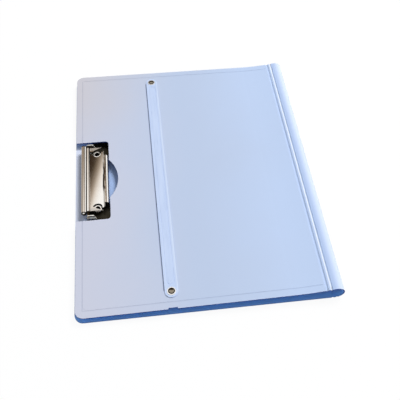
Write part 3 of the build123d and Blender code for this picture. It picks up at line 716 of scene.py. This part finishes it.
def base_metal():
    """Dark plated base plate with a soft gloss, and its ears, bright with a painted reflection and darker
    with painted shade on their inner faces.
    """
    m = Finish("clip_base_metal")
    _, y, height = m.split(m.position())
    _, _, facing_z = m.facing()
    from_middle = m.size(y)
    smudges = m.noise(*BASE_SMUDGE_NOISE)
    plate = m.mix(m.span(smudges, *BASE_SMUDGE_SPAN), BASE_COLOUR_DARK, BASE_COLOUR_LIGHT)
    ear = m.times(m.above(from_middle, EAR_FROM_MIDDLE), m.span(height, *EAR_START_SPAN))
    # Painted reflection and shade on the ears' faces, and a painted highlight on their tops
    side = m.mix(m.span(height, *EAR_HIGH_SPAN), EAR_REFLECTION_BAND, EAR_REFLECTION_HIGH)
    side = m.mix(m.span(height, *EAR_LOW_SPAN), side, EAR_SHADE_LOW)
    side = m.mix(m.below(from_middle, EAR_INNER_FACE), side, EAR_SHADE_INNER)
    ear_colour = m.mix(m.span(facing_z, *EAR_TOP_SPAN), side, EAR_HIGHLIGHT_TOP)
    m.colour(m.mix(ear, plate, ear_colour))
    m.metallic(m.span(ear, *EAR_METALLIC_SPAN))
    gloss = m.span(smudges, *BASE_GLOSS_SPAN)
    m.roughness(m.plus(gloss, m.times(ear, EAR_ROUGHER)))
    m.bump(m.noise(*BASE_BUMP_NOISE), *BASE_BUMP)
    return m.material


def spring_steel():
    """Drawn wire with lines along it."""
    m = Finish("spring_steel")
    lines = m.noise(*SPRING_LINE_NOISE, m.stretched(SPRING_LINE_STRETCH))
    m.colour(m.mix(m.span(lines, *SPRING_LINE_SPAN), SPRING_COLOUR_DARK, SPRING_COLOUR_LIGHT))
    m.set(Metallic=1.0)
    m.roughness(m.span(lines, *SPRING_GLOSS_SPAN))
    m.bump(lines, *SPRING_BUMP)
    return m.material


def paint(node_names, material):
    """Give the solids of these nodes one material."""
    for name in node_names:
        mesh = nodes[name].data
        mesh.materials.clear()
        mesh.materials.append(material)


def mesh_object(name, vertices, faces, material, smooth=True):
    """New mesh piece from points and faces."""
    mesh = bpy.data.meshes.new(name)
    mesh.from_pydata(vertices, [], faces)
    mesh.update()
    for polygon in mesh.polygons:
        polygon.use_smooth = smooth
    mesh.materials.append(material)
    piece = bpy.data.objects.new(name, mesh)
    bpy.context.scene.collection.objects.link(piece)
    return piece


def web_point(joint, slope, outward, along, height):
    """Point of a web: a distance along one panel from the fold, and a height above its inner face."""
    turn = math.radians(slope)
    place = Vector(joint["pos_m"])
    across = Vector((math.cos(turn), 0.0, math.sin(turn)))
    up = Vector((-math.sin(turn), 0.0, math.cos(turn))) * outward
    return place + across * along + up * height


def web_ring(joint, left_slope, right_slope, outward):
    """Section of a web: along its lower side and back along its upper one."""
    ring = []
    for height in (WEB_LOW, WEB_HIGH):
        row = []
        for column in range(WEB_COLUMNS + 1):
            along = WEB_REACH * (2.0 * column / WEB_COLUMNS - 1.0)
            slope = left_slope if along < 0.0 else right_slope
            if 2 * column == WEB_COLUMNS:
                slope = (left_slope + right_slope) / 2
            row.append(web_point(joint, slope, outward, along, height))
        ring += row if height == WEB_LOW else row[::-1]
    return ring


def make_web(joint_name, left, left_slope, right, right_slope, outward, material):
    """Thin flexible web that joins two panels at the root of a fold groove."""
    joint = joints[joint_name]
    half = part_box("spine")[1][1] - WEB_END_INSET
    ring = web_ring(joint, left_slope, right_slope, outward)
    count = len(ring)
    vertices = []
    for row in range(WEB_ROWS + 1):
        y = half * (2.0 * row / WEB_ROWS - 1.0)
        vertices += [(point.x, y, point.z) for point in ring]
    faces = []
    for row in range(WEB_ROWS):
        for k in range(count):
            corner = row * count + k
            neighbour = row * count + (k + 1) % count
            faces.append((corner, neighbour, neighbour + count, corner + count))
    faces.append(tuple(range(count)))
    faces.append(tuple(range(WEB_ROWS * count, (WEB_ROWS + 1) * count))[::-1])
    web = mesh_object("web_" + joint_name, vertices, faces, material)
    turned = bmesh.new()
    turned.from_mesh(web.data)
    bmesh.ops.recalc_face_normals(turned, faces=turned.faces)
    turned.to_mesh(web.data)
    turned.free()
    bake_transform(web)


def make_camera():
    """Camera at the photograph's viewing angle, with its small sideways shift."""
    forward = Vector(
        (
            math.sin(CAMERA_YAW) * math.cos(CAMERA_PITCH),
            math.cos(CAMERA_YAW) * math.cos(CAMERA_PITCH),
            -math.sin(CAMERA_PITCH),
        )
    )
    right = Vector((math.cos(CAMERA_YAW), -math.sin(CAMERA_YAW), 0.0))
    down = forward.cross(right)
    right_rolled = right * math.cos(CAMERA_ROLL) + down * math.sin(CAMERA_ROLL)
    down_rolled = down * math.cos(CAMERA_ROLL) - right * math.sin(CAMERA_ROLL)
    camera = bpy.data.objects.new("camera", bpy.data.cameras.new("camera"))
    bpy.context.scene.collection.objects.link(camera)
    turn = Matrix((right_rolled, -down_rolled, -forward)).transposed()
    camera.matrix_world = Matrix.Translation(CAMERA_PLACE) @ turn.to_4x4()
    camera.data.sensor_width = SENSOR_MM
    camera.data.lens = SENSOR_MM * FOCAL_PX / FRAME_PX
    camera.data.shift_x = -(CENTRE_PX - FRAME_PX / 2) / FRAME_PX
    camera.data.clip_start = CAMERA_NEAR
    camera.data.clip_end = CAMERA_FAR
    bpy.context.scene.camera = camera


def make_world():
    """White surroundings, with darker sides that only the metal picks up."""
    world = bpy.data.worlds.new("studio")
    bpy.context.scene.world = world
    world.use_nodes = True
    world.node_tree.nodes.clear()
    w = Tree(world.node_tree)
    fill = w.add("ShaderNodeBackground")
    fill.inputs["Color"].default_value = WORLD_COLOUR
    fill.inputs["Strength"].default_value = WORLD_FILL
    x, y, _ = w.split(w.add("ShaderNodeTexCoord").outputs["Generated"])
    reach = w.plus(w.size(y), w.times(x, SKY_SLANT))
    panel = w.span(x, *SKY_RIGHT_PANEL, kind="LINEAR")
    tone = w.larger(w.span(reach, *SKY_FALL, kind="LINEAR"), panel)
    to_camera = w.add("ShaderNodeLightPath").outputs["Is Camera Ray"]
    sky = w.add("ShaderNodeBackground")
    w.link(w.mix(to_camera, w.ramp(tone, SKY_TONES), WHITE), sky.inputs["Color"])
    output = w.add("ShaderNodeOutputWorld")
    w.link(w.mix_shaders(w.seen(), fill.outputs[0], sky.outputs[0]), output.inputs["Surface"])


def make_floor():
    """Pale floor that shows white to the camera and in the metal, and keeps a soft shadow."""
    material = bpy.data.materials.new("floor")
    material.use_nodes = True
    material.node_tree.nodes.clear()
    f = Tree(material.node_tree)
    diffuse = f.add("ShaderNodeBsdfDiffuse")
    diffuse.inputs["Color"].default_value = FLOOR_COLOUR
    bright = f.add("ShaderNodeEmission")
    x, y, _ = f.split(f.add("ShaderNodeNewGeometry").outputs["Position"])
    beside_folder = f.larger(
        f.above(f.size(x), solid_high[0] - FOOTPRINT_INSET),
        f.above(f.size(y), solid_high[1] - FOOTPRINT_INSET),
    )
    glow = f.times(f.seen(), FLOOR_GLOW, beside_folder)
    output = f.add("ShaderNodeOutputMaterial")
    f.link(f.mix_shaders(glow, diffuse.outputs[0], bright.outputs[0]), output.inputs["Surface"])
    corners = [
        (-FLOOR_REACH, -FLOOR_REACH, 0.0),
        (FLOOR_REACH, -FLOOR_REACH, 0.0),
        (FLOOR_REACH, FLOOR_REACH, 0.0),
        (-FLOOR_REACH, FLOOR_REACH, 0.0),
    ]
    floor = mesh_object("floor", corners, [(0, 1, 2, 3)], material, smooth=False)


def make_lamp():
    """Soft square lamp. The camera and the metal don't see its face."""
    data = bpy.data.lights.new("key", "AREA")
    data.shape = "SQUARE"
    data.size = LAMP_SIZE
    data.energy = LAMP_POWER
    lamp = bpy.data.objects.new("key", data)
    lamp.location = Vector(LAMP_PLACE)
    aim = Vector(LAMP_TARGET) - Vector(LAMP_PLACE)
    lamp.rotation_euler = aim.to_track_quat("-Z", "Y").to_euler()
    bpy.context.scene.collection.objects.link(lamp)
    lamp.visible_camera = False
    lamp.visible_glossy = False


make_camera()
make_world()
make_floor()
make_lamp()
bpy.context.scene.view_settings.view_transform = "Standard"

bent_plastic = folder_plastic("spine_plastic", True)
paint(["back_board", "front_cover"], folder_plastic("folder_plastic", False))
paint(["rear_fold_strip", "spine", "front_fold_strip"], bent_plastic)
paint(["retaining_strap"], strap_plastic())
paint(["strap_rivet_caps", "strap_rivet_posts"], rivet_metal())
paint(["clip_eyelets", "clip_eyelet_washers"], eyelet_metal())
paint(["clip_jaw"], jaw_metal())
paint(["clip_hinge_pin"], pin_metal())
paint(["clip_base_plate"], base_metal())
paint(["clip_springs"], spring_steel())
for fold in FOLDS:
    make_web(*fold, bent_plastic)
